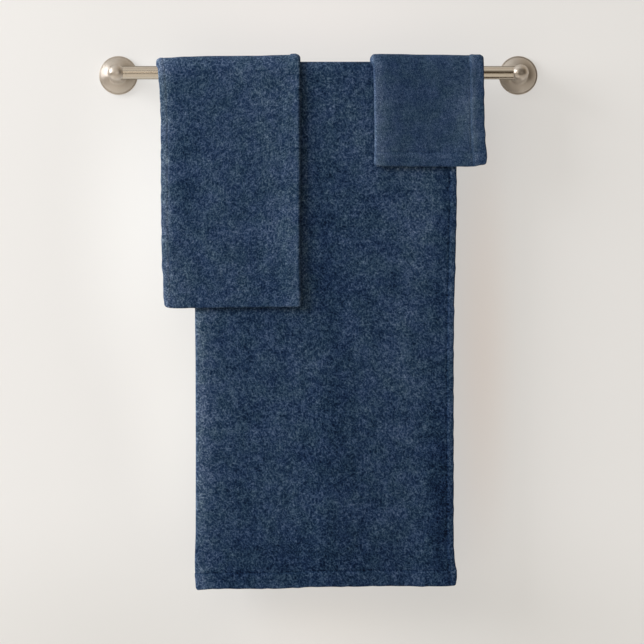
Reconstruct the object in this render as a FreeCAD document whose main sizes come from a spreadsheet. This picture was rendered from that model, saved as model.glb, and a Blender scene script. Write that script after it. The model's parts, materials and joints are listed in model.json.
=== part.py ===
import FreeCAD, Part
import math
import os

import Sketcher
from FreeCAD import Placement, Rotation, Vector

# Bath towel set on a wall bar. Row frame: X along the bar, Y into the wall, Z up.
# The origin is on the wall, midway between the two posts and level with the bar.

doc = FreeCAD.newDocument("bath_towel_set")

# Driving dimensions, all in millimetres: name, size, what it is.
DIMENSIONS = [
    ("post_spacing", 582, "centre to centre of the posts"),
    ("bar_standoff", 70, "wall to the bar's centreline"),
    ("bar_radius", 9.5, "outside of the bar tube"),
    ("bar_wall", 1.0, "wall of the bar tube"),
    ("bar_end_gap", 0.5, "end of the tube to the bottom of its socket"),
    ("socket_clearance", 0.05, "radial play of the tube in its socket"),
    ("socket_wall", 2.45, "post metal round the socket"),
    ("socket_reach", 4, "socket depth past the post's centreline"),
    ("nose_wall", 3.5, "post metal in front of the bar"),
    ("nose_flat", 3, "radius left flat at the tip of the nose"),
    ("screw_pitch", 26, "between the two wall screws of a plate"),
    ("wall_hole_radius", 2.5, "clearance hole for a wall screw"),
    ("plate_edge", 4.5, "plate metal outside a wall screw hole"),
    ("plate_thickness", 6, "mounting plate"),
    ("plate_bore_radius", 6, "opening in the middle of the plate"),
    ("groove_depth", 1.5, "groove round the plate for the set screw's point"),
    ("groove_half_width", 2.2, "half the mouth of that groove"),
    ("plate_room", 5.5, "space round the plate inside the flange"),
    ("flange_wall", 2.5, "rim of the flange"),
    ("rim_depth", 6.5, "straight rim of the flange"),
    ("rim_round", 0.8, "rounded edge of the rim"),
    ("step_width", 2, "ledge between the rim and the dome"),
    ("step_rise", 0.8, "height of the step up to the dome"),
    ("dome_radius", 22, "curve of the flange's dome"),
    ("dome_wall", 3, "metal behind the foot of the neck"),
    ("shoulder_round", 4.5, "hollow curve from the dome to the neck"),
    ("neck_depth", 21, "wall to the seat of the post"),
    ("neck_height", 5.5, "foot of the neck to that seat"),
    ("neck_floor", 3, "metal under the post's seat"),
    ("ledge_wall", 2.3, "metal behind the ledge"),
    ("cone_room", 2, "space round the post screw's head"),
    ("set_screw_radius", 2, "set screw thread"),
    ("set_screw_depth", 3.2, "wall to the set screw's axis"),
    ("set_screw_sink", 0.3, "set screw's end below the rim"),
    ("set_screw_play", 0.1, "set screw's point to the groove's bottom"),
    ("set_key_radius", 1.15, "corner radius of the set screw's hex socket"),
    ("set_key_depth", 2, "depth of that socket"),
    ("post_screw_radius", 2.5, "post screw thread"),
    ("post_screw_length", 14, "post screw under its head"),
    ("post_head_radius", 4.5, "post screw head"),
    ("post_head_height", 3, "post screw head"),
    ("post_key_radius", 2.3, "corner radius of the post screw's hex socket"),
    ("post_key_depth", 1.8, "depth of that socket"),
    ("thread_runout", 2, "hole left beyond the post screw's end"),
    ("drape_gap", 0.3, "cloth to what it lies on"),
    ("flap_gap", 0.4, "between a towel and its swinging flap"),
    ("bath_offset", 11, "middle of the bath towel from the middle of the bar"),
    ("bath_width", 377, "bath towel folded lengthwise"),
    ("bath_cloth", 5.2, "bath towel, both layers"),
    ("bath_front_drop", 742.5, "bar's centre to the front hem"),
    ("bath_back_drop", 740, "bar's centre to the back hem"),
    ("bath_flap_drop", 352, "bar's centre to where the front flap bends"),
    ("hand_inset", 62.5, "left post to the hand towel's edge"),
    ("hand_width", 201.5, "hand towel folded lengthwise"),
    ("hand_cloth", 7, "hand towel, both layers and their loft"),
    ("hand_front_drop", 338.5, "bar's centre to the front hem"),
    ("hand_back_drop", 313, "bar's centre to the back hem"),
    ("hand_flap_drop", 6, "bar's centre to where the front flap bends"),
    ("wash_inset", 52, "right post to the washcloth's edge"),
    ("wash_width", 163, "washcloth folded in half"),
    ("wash_cloth", 8, "washcloth, both layers and their loft"),
    ("wash_front_drop", 135.5, "bar's centre to the front hem"),
    ("wash_back_drop", 133.5, "bar's centre to the back hem"),
    ("wash_flap_drop", 6.5, "bar's centre to where the front flap bends"),
]

sheet = doc.addObject("Spreadsheet::Sheet", "Sizes")
for row, (alias, size, meaning) in enumerate(DIMENSIONS, start=1):
    sheet.set(f"A{row}", meaning)
    sheet.set(f"B{row}", str(size))
    sheet.setAlias(f"B{row}", alias)
doc.recompute()


def sized(text):
    """The expression with each dimension's name led by its sheet."""
    names = {alias for alias, _, _ in DIMENSIONS}
    words = text.replace("(", "( ").replace(")", " )").split()
    return " ".join(f"Sizes.{word}" if word in names else word for word in words)


def value(text):
    return float(sheet.evalExpression(sized(text)))


# Sizes that follow from the driving ones.
POST_RADIUS = "(bar_radius + socket_clearance + socket_wall)"
NOSE_DEPTH = "(bar_standoff + bar_radius + nose_wall)"
PLATE_RADIUS = "(screw_pitch / 2 + wall_hole_radius + plate_edge)"
HOLLOW_RADIUS = f"({PLATE_RADIUS} + plate_room)"
FLANGE_RADIUS = f"({HOLLOW_RADIUS} + flange_wall)"
DOME_DEPTH = "(neck_depth - neck_height)"
HALF_BAR = "(post_spacing / 2 + socket_reach - bar_end_gap)"
OUTWARD = Rotation(Vector(1, 0, 0), 90)  # a piece's own Z points out of the wall
TURNED = OUTWARD.multiply(Rotation(Vector(0, 0, 1), 180))
UPRIGHT = Rotation()

pieces = []


def new_body(label, turn=UPRIGHT, across="0", out="0", up="0"):
    """An empty body that stands at (across, -out, up) in the row frame."""
    body = doc.addObject("PartDesign::Body", label)
    body.Label = label
    body.Placement = Placement(Vector(), turn)
    for axis, text in (("x", across), ("y", f"-1 * {out}"), ("z", up)):
        body.setExpression(f"Placement.Base.{axis}", sized(text))
    pieces.append(body)
    return body


def new_sketch(body, name, plane, lift=None):
    """A sketch on one of the body's own planes, raised along its normal by lift."""
    sketch = body.newObject("Sketcher::SketchObject", f"{body.Label}_{name}")
    origin = next(f for f in body.Origin.OriginFeatures if f.Role == plane)
    sketch.AttachmentSupport = [(origin, "")]
    sketch.MapMode = "FlatFace"
    if lift:
        sketch.setExpression("AttachmentOffset.Base.z", sized(lift))
    return sketch


def bind(sketch, kind, references, text):
    """Add a constraint whose size is the expression."""
    index = sketch.addConstraint(Sketcher.Constraint(kind, *references, value(text)))
    sketch.setExpression(f"Constraints[{index}]", sized(text))


def place_point(sketch, geometry, end, across, up):
    """Fix a point of the sketch at two expressions from the origin; "0" puts it on the axis."""
    for kind, text, axis in (("DistanceX", across, -2), ("DistanceY", up, -1)):
        if text == "0":
            sketch.addConstraint(Sketcher.Constraint("PointOnObject", geometry, end, axis))
        else:
            bind(sketch, kind, (-1, 1, geometry, end), text)


def circle(sketch, radius, across="0", up="0"):
    centre = Vector(value(across), value(up), 0)
    index = sketch.addGeometry(Part.Circle(centre, Vector(0, 0, 1), value(radius)))
    place_point(sketch, index, 3, across, up)
    bind(sketch, "Radius", (index,), radius)


def hexagon(sketch, radius):
    """A regular hexagon on the origin, its corners on a construction circle."""
    turn = math.pi / 3
    corners = [Vector(math.cos(i * turn), math.sin(i * turn), 0) * value(radius) for i in range(7)]
    sides = [sketch.addGeometry(Part.LineSegment(a, b)) for a, b in zip(corners, corners[1:])]
    ring = sketch.addGeometry(Part.Circle(Vector(), Vector(0, 0, 1), value(radius)), True)
    sketch.addConstraint(Sketcher.Constraint("Coincident", ring, 3, -1, 1))
    bind(sketch, "Radius", (ring,), radius)
    for side, following in zip(sides, sides[1:] + sides[:1]):
        sketch.addConstraint(Sketcher.Constraint("Coincident", side, 2, following, 1))
        sketch.addConstraint(Sketcher.Constraint("PointOnObject", side, 1, ring))
    for side in sides[1:]:
        sketch.addConstraint(Sketcher.Constraint("Equal", sides[0], side))
    sketch.addConstraint(Sketcher.Constraint("PointOnObject", sides[0], 1, -1))


def outline(sketch, corners):
    """A closed outline. A corner is (across, up), and a third item curves the side that leaves it.

    That item is (radius, bulge): bulge is 1 to the right of the way along and -1 to the left.
    A radius of None makes a half circle, whose centre lies on the sketch's level axis.
    """
    points = [Vector(value(corner[0]), value(corner[1]), 0) for corner in corners]
    sides = []
    for index, corner in enumerate(corners):
        start, end = points[index], points[(index + 1) % len(corners)]
        if len(corner) == 2:
            sides.append(sketch.addGeometry(Part.LineSegment(start, end)))
            continue
        radius, bulge = corner[2]
        chord = end - start
        bend = value(radius) if radius else chord.Length / 2
        rise = bend - math.sqrt(max(bend ** 2 - chord.Length ** 2 / 4, 0))
        aside = Vector(chord.y, -chord.x, 0).normalize() * (bulge * rise)
        sides.append(sketch.addGeometry(Part.Arc(start, (start + end) / 2 + aside, end)))
    ends = []
    for side, start in zip(sides, points):
        first = sketch.getPoint(side, 1)
        ends.append((1, 2) if first.distanceToPoint(start) < 1e-6 else (2, 1))
    for index, side in enumerate(sides):
        following = (index + 1) % len(sides)
        joint = Sketcher.Constraint("Coincident", side, ends[index][1], sides[following], ends[following][0])
        sketch.addConstraint(joint)
        place_point(sketch, side, ends[index][0], corners[index][0], corners[index][1])
    for side, corner in zip(sides, corners):
        if len(corner) == 2:
            continue
        if corner[2][0]:
            bind(sketch, "Radius", (side,), corner[2][0])
        else:
            sketch.addConstraint(Sketcher.Constraint("PointOnObject", side, 3, -1))


def feature(body, kind, name, sketch, **settings):
    """A PartDesign feature made from a sketch; text settings are expressions."""
    made = body.newObject(f"PartDesign::{kind}", f"{body.Label}_{name}")
    made.Profile = sketch
    for setting, content in settings.items():
        if isinstance(content, str) and setting in ("Length", "Angle"):
            made.setExpression(setting, sized(content))
        else:
            setattr(made, setting, content)
    sketch.Visibility = False
    doc.recompute()
    return made


def turned_feature(body, kind, name, sketch):
    """A full turn of the sketch about its own upright axis, which is the piece's centreline."""
    return feature(body, kind, name, sketch, ReferenceAxis=(sketch, ["V_Axis"]), Angle=360.0)


def cut(body, name, sketch, **settings):
    """A pocket that has to remove metal."""
    before = body.Shape.Volume
    made = feature(body, "Pocket", name, sketch, **settings)
    if body.Shape.Volume >= before - 0.1:
        raise ValueError(f"{made.Label} removes nothing")
    return made


def round_ring(body, name, base, radius, height, size):
    """Fillet the circular edge of that radius at that height."""
    for index, edge in enumerate(base.Shape.Edges, start=1):
        curve = edge.Curve
        if not isinstance(curve, Part.Circle) or abs(curve.Radius - value(radius)) > 1e-4:
            continue
        if abs(curve.Center.z - value(height)) < 1e-4:
            made = body.newObject("PartDesign::Fillet", f"{body.Label}_{name}")
            made.Base = (base, [f"Edge{index}"])
            made.setExpression("Radius", sized(size))
            doc.recompute()
            return made
    raise ValueError(f"{body.Label} has no ring of radius {radius} at {height}")


def mounting_plate(label, across):
    """Steel disc screwed to the wall. A groove round its edge takes the set screw's point."""
    body = new_body(label, OUTWARD, across)
    disc = new_sketch(body, "disc", "XY_Plane")
    circle(disc, PLATE_RADIUS)
    feature(body, "Pad", "blank", disc, Length="plate_thickness")
    holes = new_sketch(body, "holes", "XY_Plane")
    circle(holes, "plate_bore_radius")
    circle(holes, "wall_hole_radius", up="screw_pitch / 2")
    circle(holes, "wall_hole_radius", up="-1 * screw_pitch / 2")
    cut(body, "openings", holes, Type="ThroughAll", Reversed=True)
    notch = new_sketch(body, "notch", "XZ_Plane")
    outline(notch, [
        (PLATE_RADIUS, "set_screw_depth - groove_half_width"),
        (PLATE_RADIUS, "set_screw_depth + groove_half_width"),
        (f"{PLATE_RADIUS} - groove_depth", "set_screw_depth"),
    ])
    turned_feature(body, "Groove", "groove", notch)


def flange(label, across):
    """Cast cover that hides the plate: a stepped rim, a dome and a neck that seats the post."""
    body = new_body(label, OUTWARD, across)
    section = new_sketch(body, "section", "XZ_Plane")
    outline(section, [
        (FLANGE_RADIUS, "0"),
        (FLANGE_RADIUS, "rim_depth - rim_round", ("rim_round", 1)),
        (f"{FLANGE_RADIUS} - rim_round", "rim_depth"),
        (f"{FLANGE_RADIUS} - step_width", "rim_depth"),
        (f"{FLANGE_RADIUS} - step_width", "rim_depth + step_rise", ("dome_radius", 1)),
        (POST_RADIUS, DOME_DEPTH),
        (POST_RADIUS, "neck_depth"),
        ("post_screw_radius", "neck_depth"),
        ("post_screw_radius", "neck_depth - neck_floor"),
        ("post_head_radius + cone_room", "neck_depth - neck_floor"),
        (POST_RADIUS, f"{DOME_DEPTH} - dome_wall"),
        (HOLLOW_RADIUS, "rim_depth + step_rise - ledge_wall"),
        (HOLLOW_RADIUS, "0"),
    ])
    casting = turned_feature(body, "Revolution", "casting", section)
    round_ring(body, "shoulder", casting, POST_RADIUS, DOME_DEPTH, "shoulder_round")
    thread = new_sketch(body, "thread", "XZ_Plane")
    circle(thread, "set_screw_radius", up="set_screw_depth")
    cut(body, "set_hole", thread, Length=f"{FLANGE_RADIUS} + set_screw_radius", Reversed=True)


def post(label, across, turn):
    """Round post with a domed nose and a side socket for the bar, which opens along its own +X."""
    body = new_body(label, turn, across)
    disc = new_sketch(body, "disc", "XY_Plane", lift="neck_depth")
    circle(disc, POST_RADIUS)
    stem = feature(body, "Pad", "stem", disc, Length=f"{NOSE_DEPTH} - neck_depth")
    round_ring(body, "nose", stem, POST_RADIUS, NOSE_DEPTH, f"{POST_RADIUS} - nose_flat")
    thread = new_sketch(body, "thread", "XY_Plane", lift="neck_depth")
    circle(thread, "post_screw_radius")
    cut(body, "screw_hole", thread, Reversed=True,
        Length="post_screw_length - neck_floor + thread_runout")
    mouth = new_sketch(body, "mouth", "YZ_Plane", lift="-1 * socket_reach")
    circle(mouth, "bar_radius + socket_clearance", up="bar_standoff")
    cut(body, "socket", mouth, Length=f"socket_reach + 2 * {POST_RADIUS}", Reversed=True)


def hex_cap_screw(label, across):
    """Machine screw that holds the post to the flange, driven from behind."""
    body = new_body(label, OUTWARD, across, out="(neck_depth - neck_floor)")
    section = new_sketch(body, "section", "XZ_Plane")
    outline(section, [
        ("0", "-1 * post_head_height"),
        ("post_head_radius", "-1 * post_head_height"),
        ("post_head_radius", "0"),
        ("post_screw_radius", "0"),
        ("post_screw_radius", "post_screw_length"),
        ("0", "post_screw_length"),
    ])
    turned_feature(body, "Revolution", "blank", section)
    key = new_sketch(body, "key", "XY_Plane", lift="-1 * post_head_height")
    hexagon(key, "post_key_radius")
    cut(body, "key_socket", key, Length="post_key_depth", Reversed=True)


def grub_screw(label, across):
    """Set screw in the underside of the rim; its point rests in the plate's groove."""
    length = f"({FLANGE_RADIUS} - set_screw_sink - {PLATE_RADIUS} + groove_depth - set_screw_play)"
    body = new_body(label, UPRIGHT, across, "set_screw_depth", f"set_screw_sink - {FLANGE_RADIUS}")
    section = new_sketch(body, "section", "XZ_Plane")
    outline(section, [
        ("0", "0"),
        ("set_screw_radius", "0"),
        ("set_screw_radius", f"{length} - set_screw_radius"),
        ("0", length),
    ])
    turned_feature(body, "Revolution", "blank", section)
    key = new_sketch(body, "key", "XY_Plane")
    hexagon(key, "set_key_radius")
    cut(body, "key_socket", key, Length="set_key_depth", Reversed=True)


def bar_tube():
    """Round tube that turns in both posts."""
    body = new_body("bar_tube", UPRIGHT, out="bar_standoff")
    ring = new_sketch(body, "ring", "YZ_Plane", lift=f"-1 * {HALF_BAR}")
    circle(ring, "bar_radius")
    circle(ring, "bar_radius - bar_wall")
    feature(body, "Pad", "tube", ring, Length=f"2 * {HALF_BAR}")


def towel(label, prefix, left, inner):
    """A towel over the bar, as two plain solids that meet where the front flap bends.

    inner is the radius of what it is draped over. Across the sketch is the row's Y from the
    bar's centreline, so the front leg is on the minus side.
    """
    cloth, flap = f"{prefix}_cloth", f"{prefix}_flap_drop"
    outer = f"({inner} + {cloth})"
    saddle_end = f"-1 * ({flap} - {cloth} / 2 - flap_gap)"
    saddle = new_body(label, UPRIGHT, left, "bar_standoff")
    section = new_sketch(saddle, "section", "YZ_Plane")
    outline(section, [
        (f"-1 * {outer}", saddle_end),
        (f"-1 * {inner}", saddle_end),
        (f"-1 * {inner}", "0", (None, -1)),
        (inner, "0"),
        (inner, f"-1 * {prefix}_back_drop"),
        (outer, f"-1 * {prefix}_back_drop"),
        (outer, "0", (None, 1)),
        (f"-1 * {outer}", "0"),
    ])
    feature(saddle, "Pad", "drape", section, Length=f"{prefix}_width")

    # The flap's top is round about the line it swings on, at the middle of the cloth.
    front = new_body(f"{label}_front", UPRIGHT, left, "bar_standoff", f"-1 * {flap}")
    hanging = f"-1 * ({prefix}_front_drop - {flap})"
    section = new_sketch(front, "section", "YZ_Plane")
    outline(section, [
        (f"-1 * {outer}", hanging),
        (f"-1 * {inner}", hanging),
        (f"-1 * {inner}", "0", (None, 1)),
        (f"-1 * {outer}", "0"),
    ])
    feature(front, "Pad", "flap", section, Length=f"{prefix}_width")


for side, across, turn in (("left", "-1 * post_spacing / 2", OUTWARD), ("right", "post_spacing / 2", TURNED)):
    mounting_plate(f"{side}_mounting_plate", across)
    flange(f"{side}_flange", across)
    post(f"{side}_post", across, turn)
    hex_cap_screw(f"{side}_post_screw", across)
    grub_screw(f"{side}_set_screw", across)
bar_tube()

ON_BAR = "(bar_radius + drape_gap)"
ON_BATH_TOWEL = f"({ON_BAR} + bath_cloth + drape_gap)"
towel("bath_towel", "bath", "bath_offset - bath_width / 2", ON_BAR)
towel("hand_towel", "hand", "hand_inset - post_spacing / 2", ON_BATH_TOWEL)
towel("washcloth", "wash", "post_spacing / 2 - wash_inset - wash_width", ON_BATH_TOWEL)
doc.recompute()

for made in doc.Objects:
    if "Invalid" in made.State or "Error" in made.State:
        raise RuntimeError(f"{made.Label} failed: {made.State}")
for piece in pieces:
    if piece.Shape.isNull() or not piece.Shape.isValid():
        raise RuntimeError(f"{piece.Label} has no valid shape")
    if len(piece.Shape.Solids) != 1:
        raise RuntimeError(f"{piece.Label} is {len(piece.Shape.Solids)} solids")

os.makedirs("parts", exist_ok=True)
for piece in pieces:
    piece.Shape.exportStep(f"parts/{piece.Label}.step")
    box = piece.Shape.BoundBox
    print(f"{piece.Label}: {piece.Shape.Volume:.1f} mm3, X {box.XMin:.1f} to {box.XMax:.1f},"
          f" Y {box.YMin:.1f} to {box.YMax:.1f}, Z {box.ZMin:.1f} to {box.ZMax:.1f}")
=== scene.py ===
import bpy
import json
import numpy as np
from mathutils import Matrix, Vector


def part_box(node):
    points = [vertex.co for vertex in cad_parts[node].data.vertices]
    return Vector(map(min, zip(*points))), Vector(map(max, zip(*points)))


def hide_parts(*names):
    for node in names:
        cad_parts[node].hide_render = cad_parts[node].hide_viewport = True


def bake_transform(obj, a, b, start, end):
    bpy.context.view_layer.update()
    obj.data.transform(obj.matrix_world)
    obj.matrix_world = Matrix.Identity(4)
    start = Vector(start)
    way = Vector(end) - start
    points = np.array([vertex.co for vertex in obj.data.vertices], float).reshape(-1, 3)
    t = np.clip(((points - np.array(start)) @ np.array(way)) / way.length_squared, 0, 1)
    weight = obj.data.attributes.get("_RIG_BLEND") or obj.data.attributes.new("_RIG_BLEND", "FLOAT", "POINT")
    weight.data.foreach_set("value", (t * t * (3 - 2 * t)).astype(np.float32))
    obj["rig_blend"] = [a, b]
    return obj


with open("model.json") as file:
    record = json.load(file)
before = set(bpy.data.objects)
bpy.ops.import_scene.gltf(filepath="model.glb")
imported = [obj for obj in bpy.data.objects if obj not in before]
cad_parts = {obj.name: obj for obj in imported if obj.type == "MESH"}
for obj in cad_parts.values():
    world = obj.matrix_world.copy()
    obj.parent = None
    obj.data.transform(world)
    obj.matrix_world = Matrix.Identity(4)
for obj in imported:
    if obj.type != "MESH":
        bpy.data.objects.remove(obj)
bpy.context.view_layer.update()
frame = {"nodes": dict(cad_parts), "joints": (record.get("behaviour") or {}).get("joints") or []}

import json
import math
from types import SimpleNamespace

import bpy
import numpy as np
from mathutils import Vector

mm = 0.001
bpy.ops.object.select_all(action="DESELECT")
hinges = {joint["name"]: joint for joint in frame["joints"]}

# the bar's place, which everything hangs from
barLow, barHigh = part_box("bar_tube")
barCentre = (barLow + barHigh) / 2
barRadius = (barHigh.z - barLow.z) / 2
print("frame loaded:", len(frame["nodes"]), "nodes")


def linear(hexColour):
    channels = [int(hexColour[i:i + 2], 16) / 255 for i in (1, 3, 5)]
    return [c / 12.92 if c <= 0.04045 else ((c + 0.055) / 1.055) ** 2.4 for c in channels] + [1.0]


def addNode(tree, kind, settings=None, inputs=None):
    # adds one node; an input that is a socket is linked, and anything else is its value
    node = tree.nodes.new(kind)
    for name, value in (settings or {}).items():
        setattr(node, name, value)
    for name, value in (inputs or {}).items():
        if isinstance(value, bpy.types.NodeSocket):
            tree.links.new(value, node.inputs[name])
        else:
            node.inputs[name].default_value = value
    return node


def newMaterial(name):
    material = bpy.data.materials.new(name)
    material.use_nodes = True
    material.node_tree.nodes.clear()
    return material, material.node_tree


def finishMaterial(tree, shader):
    addNode(tree, "ShaderNodeOutputMaterial", inputs={"Surface": shader.outputs[0]})


def paintRamp(ramp, stops):
    # the ramp's colours, from (place, colour) pairs
    while len(ramp.elements) < len(stops):
        ramp.elements.new(0.5)
    for element, (place, shade) in zip(ramp.elements, stops):
        element.position = place
        element.color = linear(shade)


def addObject(name, data):
    made = bpy.data.objects.new(name, data)
    bpy.context.scene.collection.objects.link(made)
    return made


def smooth(low, high, value):
    t = np.clip((value - low) / (high - low), 0, 1)
    return t * t * (3 - 2 * t)


# The print and nap that the three towels share. Spacings are in mm, or in loops where they say so.
terry = {
    "wander": 7, "wanderBy": 2.6, "fineLoops": 0.55, "blotLoops": 1.9, "cloud": 34,
    "band": 60, "bandStretch": 3.2, "tint": 30,
    "greener": (0.99, 1.015, 0.94, 1), "violet": (1.02, 0.99, 1.05, 1),
    "nap": 1.9, "napHeight": 0.9, "napCrest": 0.25, "hemPressed": 0.5, "sheen": "#8fa5c0",
    "dyes": [(0.0, "#010b1e"), (0.15, "#081a33"), (0.3, "#152944"), (0.45, "#253a55"),
             (0.6, "#384c66"), (0.75, "#4e617a"), (0.9, "#677a92"), (1.0, "#8093a9")],
    "reverseShift": 0.37,  # m, so that the reverse shows another part of the print
}


def denimTerry(name, look):
    # cotton terry with a sheared face, printed as washed denim: matt, its loops drawn as short
    # wandering light threads on dark blue, with cloudy fading and a short nap that pales where it
    # is seen edge on
    material, tree = newMaterial(name)
    cloth = addNode(tree, "ShaderNodeUVMap", {"uv_map": "cloth"})
    size = look["printScale"]

    def noise(vector, spacing, detail=1.0, roughness=0.5):
        return addNode(tree, "ShaderNodeTexNoise", {"noise_dimensions": "2D"}, {
            "Vector": vector, "Scale": 1 / (spacing * mm), "Detail": detail, "Roughness": roughness})

    def calc(operation, *values):
        return addNode(tree, "ShaderNodeMath", {"operation": operation},
                       dict(enumerate(values))).outputs[0]

    drift = noise(cloth.outputs[0], terry["wander"] * size, 2.0)
    wanderBy = terry["wanderBy"] * mm
    pull = addNode(tree, "ShaderNodeVectorMath", {"operation": "MULTIPLY_ADD"}, {
        0: drift.outputs["Color"], 1: (wanderBy, wanderBy, 0), 2: cloth.outputs[0]})
    twill = addNode(tree, "ShaderNodeMapping", {"vector_type": "TEXTURE"}, {
        "Vector": pull.outputs[0], "Rotation": (0, 0, math.radians(look["twillAngle"])),
        "Scale": (*look["stretch"], 1)})

    # loops: the crests of a wandering noise, about two loops wide so that they show
    loops = noise(twill.outputs[0], look["loop"] * size, 1.5, 0.55)
    apart = calc("ABSOLUTE", calc("SUBTRACT", loops.outputs[0], 0.5))
    crest = addNode(tree, "ShaderNodeMapRange", {"interpolation_type": "SMOOTHSTEP"}, {
        "Value": apart, "From Max": look["thread"], "To Min": 1.0, "To Max": 0.0}).outputs[0]
    fine = noise(pull.outputs[0], look["loop"] * terry["fineLoops"] * size)
    blot = noise(pull.outputs[0], look["loop"] * terry["blotLoops"] * size, 2.0, 0.6)
    # cloudy fading, from finger-sized up to hand-sized
    cloud = noise(cloth.outputs[0], terry["cloud"] * size, 4.0, 0.62)
    wash = addNode(tree, "ShaderNodeMapping", {"vector_type": "TEXTURE"}, {
        "Vector": cloth.outputs[0], "Scale": (1, terry["bandStretch"], 1)})
    band = noise(wash.outputs[0], terry["band"], 2.0)
    # painted light and shade at the seams, the fold and the open edges, and patches that are partly faded
    # print and partly painted light and shade, step the tone
    lightAndFade = addNode(tree, "ShaderNodeAttribute", {"attribute_name": "lightAndFade"})
    hem = addNode(tree, "ShaderNodeAttribute", {"attribute_name": "hem"})

    tone = look["tone"]
    for source, weight, middle in (
            (crest, look["crest"], 0.5), (fine.outputs[0], look["fine"], 0.5),
            (blot.outputs[0], look["blot"], 0.5), (cloud.outputs[0], look["cloud"], 0.5),
            (band.outputs[0], look["band"], 0.5), (lightAndFade.outputs["Fac"], 1.0, 0.0)):
        tone = calc("MULTIPLY_ADD", calc("SUBTRACT", source, middle), weight, tone)
    colour = addNode(tree, "ShaderNodeValToRGB", inputs={"Fac": tone})
    paintRamp(colour.color_ramp, terry["dyes"])

    # slow drift between a greener and a more violet blue
    tintNoise = noise(cloth.outputs[0], terry["tint"], 3.0, 0.55)
    tintShare = addNode(tree, "ShaderNodeMapRange", inputs={
        "Value": tintNoise.outputs[0], "From Min": 0.34, "From Max": 0.66})
    tint = addNode(tree, "ShaderNodeMix", {"data_type": "RGBA"}, {
        "Factor": tintShare.outputs[0], "A": terry["greener"], "B": terry["violet"]})
    dyed = addNode(tree, "ShaderNodeMix", {"data_type": "RGBA", "blend_type": "MULTIPLY"}, {
        "Factor": 1.0, "A": colour.outputs[0], "B": tint.outputs["Result"]})

    # the nap stands where the light threads are, and is pressed flat at the hems
    napGrain = noise(cloth.outputs[0], terry["nap"], 2.0, 0.7)
    napHeight = calc("MULTIPLY_ADD", crest, terry["napCrest"], napGrain.outputs[0])
    hemFlat = calc("MULTIPLY_ADD", hem.outputs["Fac"], -terry["hemPressed"], 1.0)
    bump = addNode(tree, "ShaderNodeBump", inputs={
        "Strength": 0.5, "Distance": terry["napHeight"] * mm,
        "Height": calc("MULTIPLY", napHeight, hemFlat)})
    shader = addNode(tree, "ShaderNodeBsdfPrincipled", inputs={
        "Base Color": dyed.outputs["Result"], "Roughness": 0.95, "Specular IOR Level": 0.08,
        "Sheen Weight": 0.12, "Sheen Roughness": 0.5, "Sheen Tint": linear(terry["sheen"]),
        "Normal": bump.outputs[0]})
    finishMaterial(tree, shader)
    return material


def hemThread(name, shade):
    # polyester sewing thread: finer and a little shinier than the cloth
    material, tree = newMaterial(name)
    shader = addNode(tree, "ShaderNodeBsdfPrincipled", inputs={
        "Base Color": linear(shade), "Roughness": 0.6, "Sheen Weight": 0.1})
    finishMaterial(tree, shader)
    return material


def curve(points, where):
    # smooth line through a few (place, value) pairs
    places, values = np.array(points, float).T
    index = np.clip(np.searchsorted(places, where) - 1, 0, len(places) - 2)
    t = np.clip((where - places[index]) / (places[index + 1] - places[index]), 0, 1)
    return values[index] + (values[index + 1] - values[index]) * t * t * (3 - 2 * t)


# The mesh lines of the three towels. A pair is how far a zone reaches and how far apart its lines are.
meshing = {
    "edge": (2.8 * mm, 0.7 * mm), "groove": (3 * mm, 0.9 * mm), "fold": (16 * mm, 1.8 * mm),
    "endHem": 3 * mm, "sideHem": 2.4 * mm, "shortest": 0.3 * mm,
    "nearBar": 22 * mm, "linesOverBar": 44, "linesRoundFold": 11,
}
# How all three hang. Layers are in thicknesses of one layer of cloth, and a Share is of the drop.
drape = {
    "middleLayers": 1.15, "apartLayers": 1.17, "apartOverBarLayers": 1.1, "foldTurnLayers": 0.6,
    "loftShare": 0.12, "curlShare": 0.55,
    # the inner layer's lower edge is a little higher, up to this share of the way to the fold
    "innerUp": 1.2 * mm, "innerUpTo": 0.9,
    "foldCorner": 0.6,  # radius of the fold's lower corner, as a share of the open one's
    # a pucker's size, its two lengths in mm, the second one's share and its phase
    "sidePucker": (0.28, 5.1, 3.3, 0.7, 1.3), "endPucker": (0.25, 4.7, 3.1, 0.6, 0.7),
    "puckerFull": 30 * mm,
}
# A hem: the widths of its parts, then how much thicker it and its puff are, in shares of a layer.
hemShape = {
    "blend": 1 * mm, "grooveWide": 1.3 * mm, "puffInside": 3.6 * mm, "puffWide": 2.2 * mm,
    "roundEdge": 2.1 * mm, "thicker": 0.12, "puffed": 0.3,
    "innerEdgeHighlight": 0.3,  # how much of the edge's painted highlight the inner layer shows
}


def spread(start, end, step, zones):
    # grid lines from start to end, closer together inside the zones (from, to, spacing)
    lines = [start]
    while lines[-1] < end - meshing["shortest"]:
        gap = min([step] + [near for low, high, near in zones if low <= lines[-1] < high])
        lines.append(min(lines[-1] + gap, end))
    lines[-1] = end
    return np.array(lines)


def hemZones(hem, spacing):
    # the round edge, the hem and the groove of its seam
    (edge, edgeGap), (beside, grooveGap) = meshing["edge"], meshing["groove"]
    return [(0, edge, edgeGap), (0, hem, spacing), (hem - beside, hem + beside, grooveGap)]


def ripple(along, size, first, second, share, phase):
    # two sines, for the uneven pull of a seam
    return size * mm * (np.sin(along / (first * mm)) + share * np.sin(along / (second * mm) + phase))


def drapeLines(towel, lay):
    # along the drape, from the front hem to the back hem
    nearBar, step = meshing["nearBar"], towel["step"]
    zones = hemZones(towel["endHem"], meshing["endHem"])
    front = spread(0, lay.frontDrop - nearBar, step, zones)
    barStart, barEnd = lay.frontDrop - nearBar, lay.frontDrop + lay.overBar + nearBar
    top = np.linspace(barStart, barEnd, meshing["linesOverBar"])
    back = lay.total - spread(0, lay.backDrop - nearBar, step, zones)[::-1]
    return np.concatenate([front[:-1], top, back[1:]])


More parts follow.
